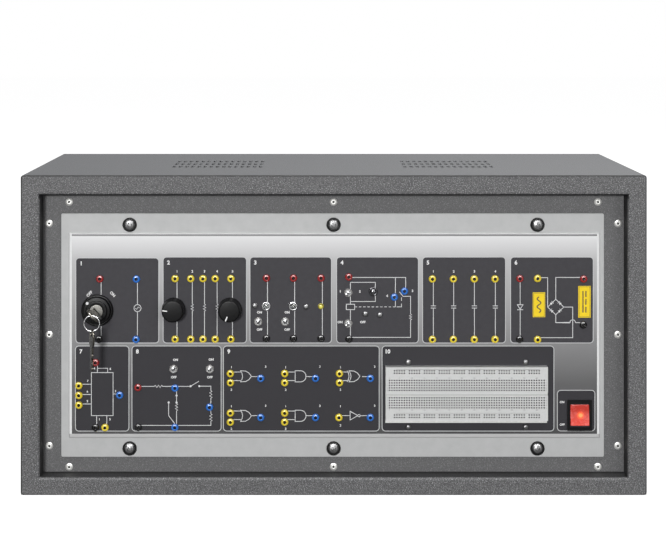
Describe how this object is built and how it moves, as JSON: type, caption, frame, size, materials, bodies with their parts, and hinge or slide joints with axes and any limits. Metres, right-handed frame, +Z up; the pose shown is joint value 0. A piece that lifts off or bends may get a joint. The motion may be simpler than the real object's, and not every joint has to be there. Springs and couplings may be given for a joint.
{
  "type": "automotive electrical trainer",
  "caption": "Steel cabinet with a recessed teaching panel of coloured sockets, key switch, knobs, toggle switches, lamps, breadboard and rocker switch.",
  "frame": {"origin": "middle of the cabinet's footprint, on the surface that it stands on", "axes": "+X to the user's right along the width, +Y from the panel to the back, +Z up"},
  "size_m": [0.6388, 0.3316, 0.324],
  "materials": {
    "cabinet_paint": "speckled powder coat, satin",
    "sub_panel_paint": "satin paint",
    "zinc": "zinc plated, satin",
    "plate_paint": "light grey enamel, satin",
    "fascia_print": "printed, satin, graded from light to dark grey",
    "bright_steel": "polished",
    "black_moulded": "satin moulded",
    "red_moulded": "glossy moulded",
    "blue_moulded": "glossy moulded",
    "yellow_moulded": "glossy moulded",
    "black_gloss": "glossy moulded",
    "brass": "plain",
    "lock_metal": "machined, bright",
    "key_metal": "nickel plated",
    "clear_lens": "clear",
    "bulb_glass": "clear",
    "yellow_lens": "tinted, glossy",
    "board_green": "lacquered laminate",
    "component_black": "moulded",
    "breadboard_white": "satin moulded",
    "red_rocker": "translucent, glossy",
    "label_yellow": "printed film",
    "laminations": "varnished laminations",
    "winding_tape": "insulating tape",
    "wire_sleeve": "flexible sleeve"
  },
  "bodies": {
    "trainer": {"cover": "cabinet_paint", "base_tray": "cabinet_paint", "front_frame": "cabinet_paint", "rear_panel": "cabinet_paint", "sub_panel": "sub_panel_paint", "sub_panel_rivets": "zinc", "mounting_plate": "plate_paint", "printed_fascia": "fascia_print", "panel_screws": "bright_steel", "cup_washers": "black_moulded", "panel_nuts": "zinc", "jack_bodies_red": "red_moulded", "jack_bodies_blue": "blue_moulded", "jack_bodies_yellow": "yellow_moulded", "jack_bodies_black": "black_gloss", "jack_contacts": "brass", "jack_nuts": "zinc", "key_switch_bezel": "black_moulded", "key_switch_body": "black_moulded", "key_switch_nut": "zinc", "pot_bodies": "zinc", "pot_nuts": "zinc", "toggle_cases": "component_black", "toggle_bushings": "bright_steel", "toggle_nuts": "bright_steel", "push_button_bezel": "bright_steel", "lamp_bezels": "bright_steel", "lamp_lenses": "clear_lens", "lamp_bulbs": "bulb_glass", "yellow_led": "yellow_lens", "board_screws": "bright_steel", "board_standoffs": "zinc", "circuit_boards": "board_green", "board_components": "component_black", "breadboard": "breadboard_white", "breadboard_plate": "zinc", "rocker_housing": "black_moulded", "range_labels": "label_yellow", "transformer_core": "laminations", "transformer_winding": "winding_tape", "mains_inlet": "black_moulded", "cover_screws": "black_moulded", "wiring_looms": "wire_sleeve"},
    "key_switch_rotor": {"key_switch_collar": "black_moulded", "key_lock_barrel": "lock_metal"},
    "key": {"ignition_key": "key_metal"},
    "ring": {"key_ring": "bright_steel"},
    "spare": {"spare_key": "key_metal"},
    "log_control": {"knob_log": "black_moulded", "pot_shaft_log": "zinc"},
    "lin_control": {"knob_lin": "black_moulded", "pot_shaft_lin": "zinc"},
    "power_rocker": {"rocker": "red_rocker"},
    "push_button": {"push_button_cap": "black_gloss"},
    "lever_lamp_1": {"toggle_lever_lamp_1": "bright_steel"},
    "lever_lamp_2": {"toggle_lever_lamp_2": "bright_steel"},
    "lever_relay_top": {"toggle_lever_relay_top": "bright_steel"},
    "lever_relay_bottom": {"toggle_lever_relay_bottom": "bright_steel"},
    "lever_divider_1": {"toggle_lever_divider_1": "bright_steel"},
    "lever_divider_2": {"toggle_lever_divider_2": "bright_steel"}
  },
  "joints": [
    {"name": "ignition_turn", "type": "hinge", "parent": "trainer", "child": "key_switch_rotor", "pos_m": [-0.2415, -0.131, 0.1845], "axis": [0, 1, 0], "range_deg": [0, 90]},
    {"name": "key_withdraw", "type": "slide", "parent": "key_switch_rotor", "child": "key", "axis": [0, -1, 0], "range_m": [-0.014, 0.012]},
    {"name": "key_ring_swing", "type": "hinge", "parent": "key", "child": "ring", "pos_m": [-0.2422, -0.1714, 0.1852], "axis": [0, -1, 0], "range_deg": [0, 90]},
    {"name": "spare_key_swing", "type": "hinge", "parent": "ring", "child": "spare", "pos_m": [-0.2423, -0.1714, 0.1696], "axis": [-1, 0, 0], "range_deg": [-10, 45]},
    {"name": "log_knob_turn", "type": "hinge", "parent": "trainer", "child": "log_control", "pos_m": [-0.1635, -0.131, 0.1855], "axis": [0, 1, 0], "range_deg": [-67, 233]},
    {"name": "lin_knob_turn", "type": "hinge", "parent": "trainer", "child": "lin_control", "pos_m": [-0.106, -0.131, 0.1855], "axis": [0, 1, 0], "range_deg": [0, 300]},
    {"name": "flip_lamp_1", "type": "hinge", "parent": "trainer", "child": "lever_lamp_1", "pos_m": [-0.077, -0.1336, 0.173], "axis": [1, 0, 0], "range_deg": [0, 25]},
    {"name": "flip_lamp_2", "type": "hinge", "parent": "trainer", "child": "lever_lamp_2", "pos_m": [-0.0495, -0.1336, 0.173], "axis": [1, 0, 0], "range_deg": [0, 25]},
    {"name": "flip_relay_top", "type": "hinge", "parent": "trainer", "child": "lever_relay_top", "pos_m": [0.015, -0.1336, 0.2025], "axis": [0, 0, 1], "range_deg": [0, 25]},
    {"name": "flip_relay_bottom", "type": "hinge", "parent": "trainer", "child": "lever_relay_bottom", "pos_m": [0.015, -0.1336, 0.171], "axis": [0, 0, 1], "range_deg": [0, 25]},
    {"name": "flip_divider_1", "type": "hinge", "parent": "trainer", "child": "lever_divider_1", "pos_m": [-0.1635, -0.1336, 0.1245], "axis": [1, 0, 0], "range_deg": [0, 25]},
    {"name": "flip_divider_2", "type": "hinge", "parent": "trainer", "child": "lever_divider_2", "pos_m": [-0.1265, -0.1336, 0.1245], "axis": [1, 0, 0], "range_deg": [0, 25]},
    {"name": "power_rocker_tilt", "type": "hinge", "parent": "trainer", "child": "power_rocker", "pos_m": [0.2515, -0.1295, 0.077], "axis": [1, 0, 0], "range_deg": [0, 18]},
    {"name": "push_button_press", "type": "slide", "parent": "trainer", "child": "push_button", "axis": [0, 1, 0], "range_m": [0, 0.002], "stiffness_N_per_m": 300, "springref_m": -0.003}
  ]
}
